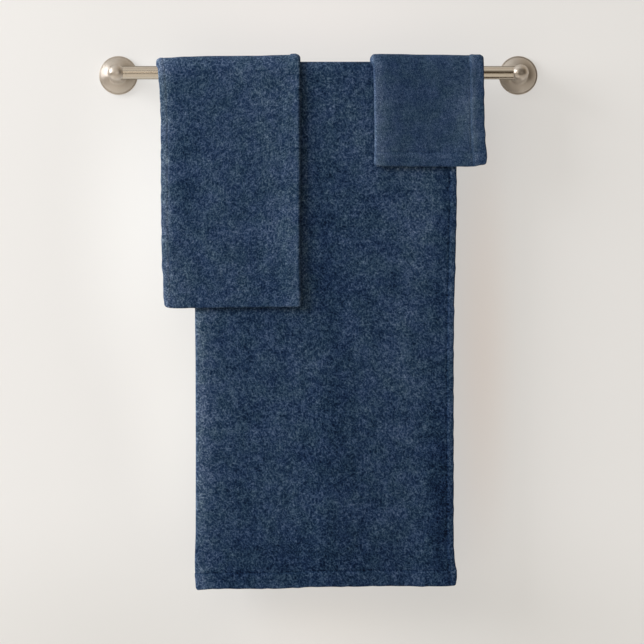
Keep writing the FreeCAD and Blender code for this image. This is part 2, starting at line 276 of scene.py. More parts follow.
def crossLines(towel, lay):
    # across the outer layer from its open edge, round the fold and back across the inner layer, with
    # each line's share of the way to the fold and its angle round it
    width = lay.foldAt
    foldZone, foldGap = meshing["fold"]
    zones = hemZones(towel["sideHem"], meshing["sideHem"]) + [(width - foldZone, width, foldGap)]
    across = spread(0, width, towel["step"], zones)
    turn = np.linspace(0, math.pi, meshing["linesRoundFold"])[1:-1]
    turnRadius = towel["layer"] * drape["foldTurnLayers"]
    innerStart = 2 * width + math.pi * turnRadius
    c = np.concatenate([across, width + turn * turnRadius, innerStart - across[::-1]])
    share = np.concatenate([across / width, np.ones(len(turn)), across[::-1] / width])
    angle = np.concatenate([np.zeros(len(across)), turn, np.full(len(across), math.pi)])
    return c, share, angle


def layGrid(towel):
    # the lengths of the drape, and where on it every point of the folded cloth is
    lay = SimpleNamespace()
    saddleLow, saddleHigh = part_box(towel["node"])
    flapLow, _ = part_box(towel["node"] + "_front")
    lay.openX, lay.foldX = saddleLow.x, saddleHigh.x
    if towel["foldSide"] < 0:
        lay.openX, lay.foldX = saddleHigh.x, saddleLow.x
    lay.foldAt = abs(lay.foldX - lay.openX)
    lay.frontDrop = barCentre.z - flapLow.z
    lay.backDrop = barCentre.z - saddleLow.z
    middleRadius = towel["inner"] + towel["layer"] * drape["middleLayers"]
    lay.overBar = math.pi * middleRadius
    lay.total = lay.frontDrop + lay.overBar + lay.backDrop

    lay.s = drapeLines(towel, lay)
    lay.c, share, angle = crossLines(towel, lay)
    lay.sGrid, lay.cGrid = np.meshgrid(lay.s, lay.c, indexing="ij")
    lay.share, lay.angle = (np.broadcast_to(row, lay.sGrid.shape) for row in (share, angle))
    lay.onInner = lay.angle == math.pi
    lay.onTurn = (lay.angle > 0) & ~lay.onInner
    lay.onFront = lay.sGrid <= lay.frontDrop
    lay.onBack = lay.sGrid >= lay.frontDrop + lay.overBar
    lay.theta = np.clip((lay.sGrid - lay.frontDrop) / middleRadius, 0, math.pi)
    lay.lift = np.sin(lay.theta) ** 2

    # depth below the bar's centre along whichever leg the point is on, and its share of that leg
    downBack = np.where(lay.onBack, lay.sGrid - lay.frontDrop - lay.overBar, 0)
    lay.down = np.where(lay.onFront, lay.frontDrop - lay.sGrid, downBack)
    lay.legDrop = np.where(lay.onBack, lay.backDrop, lay.frontDrop)
    lay.reach = lay.down / lay.legDrop
    lay.signedDown = np.where(lay.onBack, -lay.down, lay.down) / mm
    lay.fromFold = (1 - lay.share) * 100
    return lay


def longEdges(towel, lay):
    # the two long edges wander a little, as the cloth was laid, and the open one puckers at its seam
    flare = smooth(0, towel["flareSoft"], lay.lift)
    openFlare, foldFlare = towel["topFlare"]
    openEdge = lay.openX + (curve(towel["openEdge"], lay.signedDown) + openFlare * flare) * mm
    foldEdge = lay.foldX + (curve(towel["foldEdge"], lay.signedDown) + foldFlare * flare) * mm
    pucker = ripple(lay.sGrid, *drape["sidePucker"]) * smooth(0, drape["puckerFull"], lay.down)
    inset = np.where(lay.onInner, towel["foldSide"] * towel["innerShift"], 0)
    return openEdge + pucker + inset, foldEdge


def standOff(towel, lay):
    # how far the middle of the two layers stands from the bar's centre, and half their distance
    layer = towel["layer"]
    arch = curve(towel["archHeight"], lay.fromFold) * mm
    legLoft = curve(towel["legLoft"], lay.fromFold) * mm
    inner = towel["inner"] + layer / 2 + towel["hang"] * mm * (1 - lay.lift)
    loft = legLoft * smooth(0, drape["loftShare"], lay.reach)
    legOuter = inner + layer * drape["apartLayers"] + loft
    topOuter = np.maximum(arch - layer / 2, inner + layer * drape["apartOverBarLayers"])
    outer = legOuter + (topOuter - legOuter) * lay.lift
    return (outer + inner) / 2, (outer - inner) / 2


def sway(towel, lay, x):
    # slow waves that grow towards the hems, the same for both layers, and the curl away from the wall
    wave = np.zeros_like(x)
    for length, lean, phase, size in towel["waves"]:
        turns = x / (length * mm) + lean * lay.down / (100 * mm)
        wave = wave + size * mm * np.sin(2 * math.pi * turns + phase)
    growth = smooth(towel["freeFrom"] * mm, towel["freeTo"] * mm, lay.down)
    curl = curve(towel["curl"], lay.fromFold) * mm * smooth(drape["curlShare"], 1.0, lay.reach)
    return wave * growth + np.where(lay.onFront, curl, 0)


def lowered(towel, lay, nearOpen, nearFold):
    # the depth of every point: the lower edge rises, rounds its corners and puckers at its seam
    rise = curve(towel["hemRise"], lay.fromFold) * mm
    corner = towel["corner"]
    for near, radius in ((nearOpen, corner), (nearFold, corner * drape["foldCorner"])):
        inside = np.clip(radius - near, 0, radius)
        rise = rise + radius - np.sqrt(radius ** 2 - inside ** 2)
    rise = rise + ripple(lay.cGrid, *drape["endPucker"])
    grown = smooth(0.0, 1.0, lay.reach) / np.maximum(lay.reach, 1e-6)
    return lay.down * (1 - rise / lay.legDrop * grown)


def hemMarks(towel, lay):
    # hems: three layers puffed up beside a groove where the thread pulls in, with a round edge
    fromEnd = np.minimum(lay.sGrid, lay.total - lay.sGrid)
    fromSide = np.minimum(lay.cGrid, lay.c[-1] - lay.cGrid)
    hem, groove, puff = (np.zeros_like(lay.sGrid) for _ in range(3))
    blend = hemShape["blend"]
    for away, hemWidth in ((fromEnd, towel["endHem"]), (fromSide, towel["sideHem"])):
        hem = np.maximum(hem, 1 - smooth(hemWidth - blend, hemWidth + blend, away))
        fromSeam = away - hemWidth
        groove = np.maximum(groove, np.exp(-(fromSeam / hemShape["grooveWide"]) ** 2))
        fromPuff = fromSeam + hemShape["puffInside"]
        puff = np.maximum(puff, np.exp(-(fromPuff / hemShape["puffWide"]) ** 2))
    rim = np.clip(np.minimum(fromEnd, fromSide) / hemShape["roundEdge"], 0.02, 1)
    raised = hemShape["thicker"] * hem + hemShape["puffed"] * puff - towel["grooveDepth"] * groove
    thick = towel["layer"] * (1 + raised) * np.sqrt(1 - (1 - rim) ** 2)
    return fromSide, hem, groove, puff, thick


def paintLightAndFade(towel, lay, nearFold, fromSide, groove, puff):
    # painted light and shade, as steps of tone: painted shade in the seams' grooves and painted light on the
    # puffs beside them, painted highlights and shade along the fold and the open edges, and patches of faded
    # print and painted light and shade
    # painted shade in the seam's groove and painted light on the puff beside it
    grooveTone, puffTone = towel["seamShadeAndLight"]
    lightAndFade = grooveTone * groove + puffTone * puff
    # painted highlights and shade along the fold
    for middle, spanned, strength in towel["foldHighlightAndShade"]:
        lightAndFade = lightAndFade + strength * np.exp(-((nearFold / mm - middle) / spanned) ** 2)
    # painted highlight along the open edges
    middle, spanned, strength = towel["edgeHighlight"]
    edge = strength * np.exp(-((fromSide / mm - middle) / spanned) ** 2)
    lightAndFade = lightAndFade + edge * np.where(lay.onInner, hemShape["innerEdgeHighlight"], 1)
    # patches of faded print and of painted light and shade
    for percent, depth, halfWide, halfTall, strength in towel["fadeAndLightPatches"]:
        across = (lay.fromFold - percent) / halfWide
        lightAndFade = lightAndFade + strength * np.exp(-across ** 2 - ((lay.signedDown - depth) / halfTall) ** 2)
    return lightAndFade


def layTowel(towel):
    # places every point of the folded cloth, down the front, over the bar and down the back, and
    # gives its middle surface, normals, thickness, flat places, marks and painted light and shade
    lay = layGrid(towel)
    foldSide = towel["foldSide"]
    openEdge, foldEdge = longEdges(towel, lay)
    middle, half = standOff(towel, lay)
    foldStart = foldEdge - foldSide * half
    x = openEdge + (foldStart - openEdge) * lay.share
    x = np.where(lay.onTurn, foldStart + foldSide * half * np.sin(lay.angle), x)
    n = middle + half * np.cos(lay.angle) + sway(towel, lay, x)

    nearOpen, nearFold = np.abs(x - openEdge), np.abs(foldEdge - x)
    depth = lowered(towel, lay, nearOpen, nearFold)
    innerUp = drape["innerUp"] * smooth(1.0, drape["innerUpTo"], lay.share) * lay.reach
    frontZ = np.where(lay.onInner, innerUp, 0) - depth
    overZ, overY = n * np.sin(lay.theta), -n * np.cos(lay.theta)
    z = barCentre.z + np.where(lay.onFront, frontZ, np.where(lay.onBack, -depth, overZ))
    y = barCentre.y + np.where(lay.onFront, -n, np.where(lay.onBack, n, overY))

    # ends of the arch round over where the cloth's edge turns down
    endRound = towel["cornerRound"] * mm
    foldDroop = (1 - smooth(0, endRound, nearFold)) * towel["foldDroop"]
    droop = (1 - smooth(0, endRound, nearOpen) + foldDroop) * lay.lift * towel["cornerDrop"] * mm
    z = z - np.where(lay.onInner, 0, droop)

    points = np.stack([x, y, z], axis=-1)
    normals = np.cross(np.gradient(points, axis=1), np.gradient(points, axis=0)) * -foldSide
    normals /= np.maximum(np.linalg.norm(normals, axis=-1, keepdims=True), 1e-12)
    fromSide, hem, groove, puff, thick = hemMarks(towel, lay)
    lightAndFade = paintLightAndFade(towel, lay, nearFold, fromSide, groove, puff)
    flat = np.stack([lay.cGrid, lay.sGrid], axis=-1)
    return {"points": points, "normals": normals, "thick": thick, "flat": flat, "hem": hem,
            "lightAndFade": lightAndFade, "s": lay.s, "c": lay.c, "total": lay.total, "foldAt": lay.foldAt}


def sewMesh(name, laid, towel):
    # closed mesh: the face of the cloth, its back, and a narrow rim that joins them
    rows, columns = laid["points"].shape[:2]
    offset = laid["normals"] * (laid["thick"] / 2)[..., None]
    face = (laid["points"] + offset).reshape(-1, 3)
    back = (laid["points"] - offset).reshape(-1, 3)
    index = np.arange(rows * columns).reshape(rows, columns)
    a, b, c, d = index[:-1, :-1], index[:-1, 1:], index[1:, 1:], index[1:, :-1]
    quads = np.stack([a, b, c, d], axis=-1).reshape(-1, 4)
    lower = quads[:, ::-1] + rows * columns
    ring = np.concatenate([index[0, :], index[1:, -1], index[-1, -2::-1], index[-2:0:-1, 0]])
    following = np.roll(ring, -1)
    rim = np.stack([following, ring, ring + rows * columns, following + rows * columns], axis=-1)
    faces = np.concatenate([quads, lower, rim])
    if towel["foldSide"] < 0:
        faces = faces[:, ::-1]
    mesh = bpy.data.meshes.new(name)
    mesh.from_pydata(np.concatenate([face, back]).tolist(), [], faces.tolist())
    mesh.update()
    flat = laid["flat"].reshape(-1, 2)
    flat = np.concatenate([flat, flat + [terry["reverseShift"], 0.0]])
    loops = np.zeros(len(mesh.loops), int)
    mesh.loops.foreach_get("vertex_index", loops)
    uv = mesh.uv_layers.new(name="cloth")
    uv.data.foreach_set("uv", flat[loops].astype(np.float32).ravel())
    for label in ("hem", "lightAndFade"):
        values = mesh.attributes.new(label, "FLOAT", "POINT")
        values.data.foreach_set("value", np.tile(laid[label].ravel(), 2).astype(np.float32))
    mesh.shade_smooth()
    return addObject(name, mesh)


# One stitch, coarse enough to show. Level, taper, sink, tip and proud are shares of its size.
stitch = {
    "length": 2.3 * mm, "width": 0.62 * mm, "height": 0.4 * mm, "pitch": 3.2 * mm, "inset": 1.5 * mm,
    "sides": 6, "level": 0.56, "taper": 0.22, "sink": 0.3, "tip": 0.3, "proud": 0.1,
}


def oneStitch():
    # one stitch lying along X, one unit long, wide and high: a six-sided rod whose ends taper and
    # sink into the cloth
    bpy.ops.object.select_all(action="DESELECT")
    bpy.ops.mesh.primitive_cylinder_add(
        vertices=stitch["sides"], radius=0.5, depth=stitch["level"], rotation=(0, math.pi / 2, 0))
    rod = bpy.context.object
    bpy.ops.object.transform_apply(location=False, rotation=True, scale=False)
    for end in (-1, 1):
        bpy.ops.object.mode_set(mode="EDIT")
        bpy.ops.mesh.select_mode(type="FACE")
        bpy.ops.mesh.select_all(action="DESELECT")
        bpy.ops.object.mode_set(mode="OBJECT")
        for polygon in rod.data.polygons:
            polygon.select = polygon.normal.x * end > 0.9
        bpy.ops.object.mode_set(mode="EDIT")
        sunk = (stitch["taper"] * end, 0, -stitch["sink"])
        bpy.ops.mesh.extrude_region_move(TRANSFORM_OT_translate={"value": sunk})
        bpy.ops.transform.resize(value=(1, stitch["tip"], stitch["tip"]))
        bpy.ops.object.mode_set(mode="OBJECT")
    mesh = rod.data
    corners = np.array([corner.co for corner in mesh.vertices])
    corners = corners * (stitch["length"], stitch["width"], stitch["height"])
    faces = [tuple(polygon.vertices) for polygon in mesh.polygons]
    bpy.data.objects.remove(rod)
    bpy.data.meshes.remove(mesh)
    return corners, faces


def sewStitches(name, laid, towel):
    # copies the stitch along every hem line, lying on the cloth in its groove
    sLines, cLines = laid["s"], laid["c"]

    def onCloth(cPlace, sPlace):
        # the middle surface, its normal and the thickness at one flat place
        i = int(np.clip(np.searchsorted(sLines, sPlace) - 1, 0, len(sLines) - 2))
        j = int(np.clip(np.searchsorted(cLines, cPlace) - 1, 0, len(cLines) - 2))
        ti = (sPlace - sLines[i]) / (sLines[i + 1] - sLines[i])
        tj = (cPlace - cLines[j]) / (cLines[j + 1] - cLines[j])
        found = []
        for grid in (laid["points"], laid["normals"], laid["thick"]):
            low = grid[i, j] * (1 - tj) + grid[i, j + 1] * tj
            high = grid[i + 1, j] * (1 - tj) + grid[i + 1, j + 1] * tj
            found.append(low * (1 - ti) + high * ti)
        return found

    total, cTotal, foldAt = laid["total"], laid["c"][-1], laid["foldAt"]
    inset, pitch = stitch["inset"], stitch["pitch"]
    places = []
    for sPlace in (towel["endHem"], total - towel["endHem"]):
        for cStart, cEnd in ((inset, foldAt - inset), (cTotal - foldAt + inset, cTotal - inset)):
            places += [(cPlace, sPlace, 1, 0) for cPlace in np.arange(cStart, cEnd - pitch, pitch)]
    sPlaces = np.arange(inset, total - inset - pitch, pitch)
    for cPlace in (towel["sideHem"], cTotal - towel["sideHem"]):
        places += [(cPlace, sPlace, 0, 1) for sPlace in sPlaces]

    shape, shapeFaces = oneStitch()
    vertices, faces = [], []
    for cPlace, sPlace, cStep, sStep in places:
        start, normal, thick = onCloth(cPlace, sPlace)
        end = onCloth(cPlace + cStep * stitch["length"], sPlace + sStep * stitch["length"])[0]
        forward = (end - start) / max(np.linalg.norm(end - start), 1e-9)
        side = np.cross(normal, forward)
        side /= np.linalg.norm(side)
        base = (start + end) / 2 + normal * (thick / 2 + stitch["proud"] * stitch["height"])
        faces += [tuple(len(vertices) + k for k in face) for face in shapeFaces]
        vertices += list(base + shape @ np.array([forward, side, np.cross(forward, side)]))
    mesh = bpy.data.meshes.new(name)
    mesh.from_pydata(vertices, [], faces)
    mesh.shade_smooth()
    return addObject(name, mesh)


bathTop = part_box("bath_towel")[1].z - barCentre.z
drapeGap = 1.6 * mm  # between the bath towel's top and the towels on it
bendLength = 30 * mm  # over which a lifted flap bends, below its hinge

bathTowel = {
    "node": "bath_towel", "piece": "bathTowel", "body": "bath_towel_body", "flap": "bath_towel_flap",
    "joint": "bath_towel_swing", "slot": "bath_towel_cloth", "flat": (0.762, 1.524),
    # radius of its inner face, thickness of a layer, side of the fold, and the mesh's widest step
    "inner": barRadius + 0.3 * mm, "layer": 2.3 * mm, "foldSide": -1, "step": 9 * mm,
    # the inner layer's open edge is set in a little, and the legs hang this many mm further out
    "endHem": 23 * mm, "sideHem": 10 * mm, "innerShift": 2 * mm, "hang": 0.05, "corner": 4.5 * mm,
    # place down the front in mm (the back is negative), then mm off the straight edge
    "openEdge": [(-740, -7), (-200, -6), (-40, -1.5), (0, 0), (130, -0.7), (190, -0.4), (280, -2.2),
                 (330, -3.9), (420, -4.8), (600, -4.8), (673, -4.9), (696, -4.3), (707, -3.6),
                 (716, -2.1), (726, -0.2), (733, -0.2), (742, -1.4)],
    "foldEdge": [(-740, 6), (-200, 5), (0, 0), (330, 1.4), (430, 2.3), (560, 2.6), (660, 2.4),
                 (700, 1.2), (722, 1.4), (742, 2.6)],
    # mm that the open edge and the fold move over the bar, and how soon they do
    "topFlare": (0, 0), "flareSoft": 0.25,
    # share of the width from the fold in percent, then mm
    "archHeight": [(0, 15.8), (50, 15.8), (100, 15.8)],
    "legLoft": [(0, 1.0), (8, 0.2), (50, 0.0), (92, 0.0), (100, 0.2)],
    "hemRise": [(0, -1.6), (8, 0.0), (20, 0.0), (31, 0.2), (37.6, 1.3), (43.7, 2.7), (50, 3.0),
                (60, 3.1), (70, 3.9), (80, 3.9), (86, 3.2), (93, 3.7), (100, 4.2)],
    "curl": [(0, 0.4), (30, 0.0), (70, 0.2), (100, 1.4)],
    # wave length across in mm, turns for each 100 mm down, phase, size in mm
    "waves": [(310, 0.025, 0.6, 1.6), (150, -0.04, 2.1, 0.8), (83, 0.07, 4.0, 0.35),
              (41, 0.9, 1.1, 0.16), (29, -1.3, 2.4, 0.1)],
    # mm down where the waves start and are full, then how the ends of the arch round over, in mm,
    # and the fold's share of that
    "freeFrom": 345, "freeTo": 742, "cornerRound": 4.5, "cornerDrop": 2.2, "foldDroop": 0.8,
    # painted highlights and shade along the fold and the open edge: middle and spread in mm from the
    # fold or edge, then tone
    "foldHighlightAndShade": [(1, 9, 0.2), (12, 14, 0.12)], "edgeHighlight": (4, 5, 0.02),
    # tone of the painted shade in the seam's groove and of the painted light on the puff beside it, and
    # the groove's depth in layers
    "seamShadeAndLight": (-0.12, 0.08), "grooveDepth": 0.5,
    # patches, partly faded print and partly painted light and shade: percent from the fold, mm down,
    # then how wide and tall the place is, and its tone
    "fadeAndLightPatches": [(64, 85, 4, 60, 0.12), (55, 32, 6, 45, 0.08), (46, 234, 4, 100, -0.06),
                (54, 313, 9, 40, -0.08), (86, 205, 6, 70, 0.15), (77, 220, 8, 80, 0.04),
                (97, 183, 2.5, 40, -0.1), (80, 400, 8, 100, 0.07), (95, 620, 5, 115, -0.19),
                (42, 435, 6, 70, 0.09), (57, 515, 5, 150, -0.08), (12, 515, 4, 110, 0.07),
                (45, 705, 40, 40, -0.095), (0, 690, 3, 55, -0.14)],
    # the print's scale, slant in degrees and stretch, its loops in mm, its middle tone and how wide
    # its light threads are, then how much each pattern adds to the tone
    "look": {"printScale": 1.0, "twillAngle": -32, "stretch": (1, 1.35), "loop": 4.9, "tone": 0.455,
             "thread": 0.12, "crest": 0.26, "fine": 0.55, "blot": 0.45, "cloud": 0.3, "band": 0.15},
    "thread": "#33475f", "restsOn": ["bar_tube"],
}
handTowel = {
    "node": "hand_towel", "piece": "handTowel", "body": "hand_towel_body", "flap": "hand_towel_flap",
    "joint": "hand_towel_swing", "slot": "hand_towel_cloth", "flat": (0.406, 0.711),
    "inner": bathTop + drapeGap, "layer": 2.3 * mm, "foldSide": 1, "step": 5 * mm,
    "endHem": 24 * mm, "sideHem": 10 * mm, "innerShift": 1.5 * mm, "hang": 0.9, "corner": 6.5 * mm,
    "openEdge": [(-313, 6), (-60, 4), (0, -1.5), (6, -1.0), (12, -0.9), (18, 0.2), (26, 0.9),
                 (40, 1.1), (50, 1.8), (64, 2.4), (120, 2.6), (183, 2.8), (250, 3.6), (285, 4.4),
                 (308, 6.2), (330, 6.2), (338, 7.2)],
    "foldEdge": [(-313, -5), (-60, -4), (0, 0.2), (150, 0.6), (260, 0.2), (338, 1.4)],
    "topFlare": (-2.9, 0), "flareSoft": 0.25,
    "archHeight": [(0, 27.0), (1, 27.6), (3.6, 27.4), (5.4, 25.8), (14, 25.5), (28, 24.5), (60, 24.2),
                   (80, 23.2), (93, 21.6), (100, 21.3)],
    "legLoft": [(0, 2.0), (6, 1.5), (14, 0.3), (50, 0.0), (94, 0.1), (100, 0.3)],
    "hemRise": [(0, 1.2), (50, 0.2), (90, -0.9), (100, -0.3)],
    "curl": [(0, 1.4), (20, 0.4), (70, 0.3), (100, 1.8)],
    "waves": [(190, 0.05, 1.4, 0.7), (90, -0.09, 0.3, 0.4), (37, 1.1, 0.8, 0.15),
              (26, -1.5, 2.0, 0.1)],
    "freeFrom": 60, "freeTo": 338, "cornerRound": 5.5, "cornerDrop": 2.6, "foldDroop": 0.35,
    # painted highlights and shade along the fold and the open edge, painted shade and light at the seams,
    # and patches of faded print and of painted light and shade
    "foldHighlightAndShade": [(6, 3, 0.1), (20, 22, 0.1), (-1, 2, -0.06)], "edgeHighlight": (5, 9.5, 0.27),
    "seamShadeAndLight": (0.0, -0.02), "grooveDepth": 0.25,
    "fadeAndLightPatches": [(60, 0, 60, 16, 0.04), (90, 0, 6, 14, 0.1), (27, 80, 7, 40, 0.08),
                (81, 169, 6, 60, -0.06), (14, 306, 9, 30, -0.15), (85, 304, 8, 25, 0.1)],
    "look": {"printScale": 0.92, "twillAngle": -32, "stretch": (1, 1.35), "loop": 4.9, "tone": 0.487,
             "thread": 0.12, "crest": 0.26, "fine": 0.55, "blot": 0.42, "cloud": 0.3, "band": 0.15},
    "thread": "#4a5f7a", "restsOn": ["bathTowel"],
}
faceCloth = {
    "node": "washcloth", "piece": "faceCloth", "body": "washcloth_body", "flap": "washcloth_flap",
    "joint": "washcloth_swing", "slot": "washcloth_cloth", "flat": (0.33, 0.33),
    "inner": bathTop + drapeGap, "layer": 2.4 * mm, "foldSide": -1, "step": 4 * mm,
    "endHem": 20 * mm, "sideHem": 21 * mm, "innerShift": 1.2 * mm, "hang": 0.9, "corner": 5 * mm,
    "openEdge": [(-133, -5), (-40, -4), (0, -1.2), (20, -0.9), (70, -0.4), (100, 0.8), (128, 3.2),
                 (135, 2.4)],
    "foldEdge": [(-133, 7), (-40, 6), (0, 4.4), (40, 5.4), (90, 6.0), (125, 5.8), (135, 5.2)],
    "topFlare": (0, -4.8), "flareSoft": 0.9,
    "archHeight": [(0, 26.8), (5, 27.1), (24, 26.9), (42, 26.1), (60, 26.0), (78, 25.5), (84, 25.3),
                   (90, 26.2), (97, 26.2), (100, 25.9)],
    "legLoft": [(0, 1.6), (10, 1.2), (30, 0.4), (90, 0.5), (100, 0.8)],
    "hemRise": [(0, -0.2), (50, -0.6), (80, -0.9), (88, -0.5), (95, 1.3), (100, 1.5)],
    "curl": [(0, 0.8), (50, 0.6), (100, 3.2)],
    "waves": [(120, 0.08, 2.6, 0.6), (66, -0.11, 0.9, 0.3), (31, 1.3, 0.4, 0.14)],
    "freeFrom": 30, "freeTo": 135, "cornerRound": 5.0, "cornerDrop": 2.8, "foldDroop": 0.8,
    # painted highlights and shade along the fold and the open edge, painted shade and light at the seams,
    # and patches of faded print and of painted light and shade
    "foldHighlightAndShade": [(1, 14, 0.215)], "edgeHighlight": (15, 8, 0.1),
    "seamShadeAndLight": (-0.03, 0.08), "grooveDepth": 0.45,
    "fadeAndLightPatches": [(9, 0, 10, 16, -0.07), (41, 32, 12, 40, -0.07), (82, 60, 9, 38, 0.15),
                (12, 90, 7, 60, 0.06)],
    "look": {"printScale": 0.5, "twillAngle": -8, "stretch": (1, 2.0), "loop": 4.6, "tone": 0.463,
             "thread": 0.17, "crest": 0.2, "fine": 0.6, "blot": 0.33, "cloud": 0.3, "band": 0.15},
    "thread": "#4a5f7a", "restsOn": ["bathTowel"],
}


def keepBackHanging(piece):
    # only the front of a towel is lifted: what hangs behind the bar takes no share of the swing,
    # though it is as low as the part that does
    places = np.zeros(len(piece.data.vertices) * 3, np.float32)
    piece.data.vertices.foreach_get("co", places)
    swingShare = piece.data.attributes["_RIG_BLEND"].data
    shares = np.zeros(len(swingShare), np.float32)
    swingShare.foreach_get("value", shares)
    shares[places[1::3] > barCentre.y] = 0
    swingShare.foreach_set("value", shares)


for towel in (bathTowel, handTowel, faceCloth):
    laid = layTowel(towel)
    cloth = sewMesh(towel["piece"], laid, towel)
    cloth.data.materials.append(denimTerry(towel["piece"] + "Terry", towel["look"]))
    cloth.visible_glossy = False  # the metal mirrors the pale room only
    stitches = sewStitches(towel["piece"] + "Stitches", laid, towel)
    stitches.data.materials.append(hemThread(towel["piece"] + "Thread", towel["thread"]))
    hinge = Vector(hinges[towel["joint"]]["pos_m"])
    bendEnd = hinge - Vector((0, 0, bendLength))
    for piece in (cloth, stitches):
        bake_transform(piece, towel["body"], towel["flap"], start=tuple(hinge), end=tuple(bendEnd))
        keepBackHanging(piece)
    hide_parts(towel["node"], towel["node"] + "_front")
    clothFaces, stitchFaces = len(cloth.data.polygons), len(stitches.data.polygons)
    print(towel["piece"], clothFaces, "faces,", stitchFaces, "in its stitches")


smudgeSpacing = 18 * mm  # between the duller places on the metal


def brushedMetal(name, look):
    # satin metal that shows its last tool: fine scratches along the drawn tube, and on the turned
    # posts, flanges and plates a sheen that spreads across their rings
    material, tree = newMaterial(name)
    place = addNode(tree, "ShaderNodeTexCoord")
    scratches = addNode(tree, "ShaderNodeMapping", {"vector_type": "TEXTURE"}, {
        "Vector": place.outputs["Object"], "Scale": [size * mm for size in look["grain"]]})
    grain = addNode(tree, "ShaderNodeTexNoise", inputs={
        "Vector": scratches.outputs[0], "Scale": 1.0, "Detail": 3.0, "Roughness": 0.6})
    smudge = addNode(tree, "ShaderNodeTexNoise", inputs={
        "Vector": place.outputs["Object"], "Scale": 1 / smudgeSpacing, "Detail": 2.0})
    rough = addNode(tree, "ShaderNodeMapRange", inputs={
        "Value": smudge.outputs[0], "From Min": 0.3, "From Max": 0.7,
        "To Min": look["roughness"] - 0.04, "To Max": look["roughness"] + 0.05})
    bump = addNode(tree, "ShaderNodeBump", inputs={
        "Strength": 0.12, "Distance": 0.05 * mm, "Height": grain.outputs[0]})
    turned = addNode(tree, "ShaderNodeTangent", {"direction_type": "RADIAL", "axis": look["axis"]})
    shader = addNode(tree, "ShaderNodeBsdfPrincipled", inputs={
        "Base Color": linear(look["shade"]), "Metallic": 1.0, "Roughness": rough.outputs[0],
        "Specular Tint": linear(look["edgeShade"]), "Anisotropic": look["brushed"],
        "Anisotropic Rotation": 0.25, "Tangent": turned.outputs[0], "Normal": bump.outputs[0]})
    finishMaterial(tree, shader)
    return material


# Grain is the scratches' size along X, Y and Z in mm, several times the real one so that it shows.
tubeLook = {
    "shade": "#cfc6b8", "edgeShade": "#2b2620", "roughness": 0.2,
    "axis": "X", "brushed": 0.0, "grain": (16.7, 0.4, 0.4),
}
postLook = {
    "shade": "#d0c8be", "edgeShade": "#b0a79c", "roughness": 0.33,
    "axis": "Y", "brushed": 0.8, "grain": (0.667, 0.667, 0.667),
}
flangeLook = {**postLook, "roughness": 0.42, "brushed": 0.85}
plateLook = {
    "shade": "#a9a9a4", "edgeShade": "#e6e6e3", "roughness": 0.4,
    "axis": "Y", "brushed": 0.3, "grain": (1.25, 1.25, 1.25),
}
screwLook = {
    "shade": "#6f6c66", "edgeShade": "#d0ccc4", "roughness": 0.35,
    "axis": "Y", "brushed": 0.0, "grain": (1.11, 1.11, 1.11),
}
metals = {  # by the ends of the nodes' names
    "bar_tube": brushedMetal("brushedNickelTube", tubeLook),
    "post": brushedMetal("brushedNickelPost", postLook),
    "flange": brushedMetal("brushedNickelFlange", flangeLook),
    "mounting_plate": brushedMetal("zincPlatedSteel", plateLook),
    "screw": brushedMetal("darkSteelScrew", screwLook),
}
for name, node in frame["nodes"].items():
    for ending, metal in metals.items():
        if name.endswith(ending):
            node.data.materials.clear()
            node.data.materials.append(metal)
print("metal finishes on the bar, posts, flanges, plates and screws")


# The studio, in metres. Pools are soft spots of light and shade: their middle across and up, half
# their width and height, all in mm, and their colour.
floorDrop, wallHigh = 1.45, 3.2
room = {
    "wall": {
        "size": (6.0, wallHigh), "place": (0, 0.6 * mm, wallHigh / 2 - floorDrop), "turn": (90, 0, 0),
        "shade": "#9a9997", "glowShade": "#e6e4e1", "glow": 0.648,
        "pools": [(-235, -210, 160, 350, "#fefdfa"), (-200, -470, 120, 280, "#f6f4f0"),
                  (240, -400, 60, 420, "#e2d9d2"), (-330, -860, 500, 260, "#d6d4d0"),
                  (-10, 85, 330, 110, "#efebe8"), (20, -800, 200, 90, "#ebe7e2"),
                  (350, -860, 400, 260, "#d9d7d3"), (0, 800, 3000, 600, "#8c8a86")],
    },
    "floor": {
        "size": (14, 5), "place": (0, -2.4, -floorDrop), "turn": (0, 0, 0),
        "shade": "#c9c5be", "glowShade": "#f4f2ef", "glow": 0.1, "pools": [],
    },
    "darkCard": {
        "size": (0.36, 0.1), "place": (0.235, -0.055, -0.17), "turn": (0, 55, 0),
        "shade": "#3a2815", "glowShade": "#3a2815", "glow": 0.6, "pools": [],
    },
}


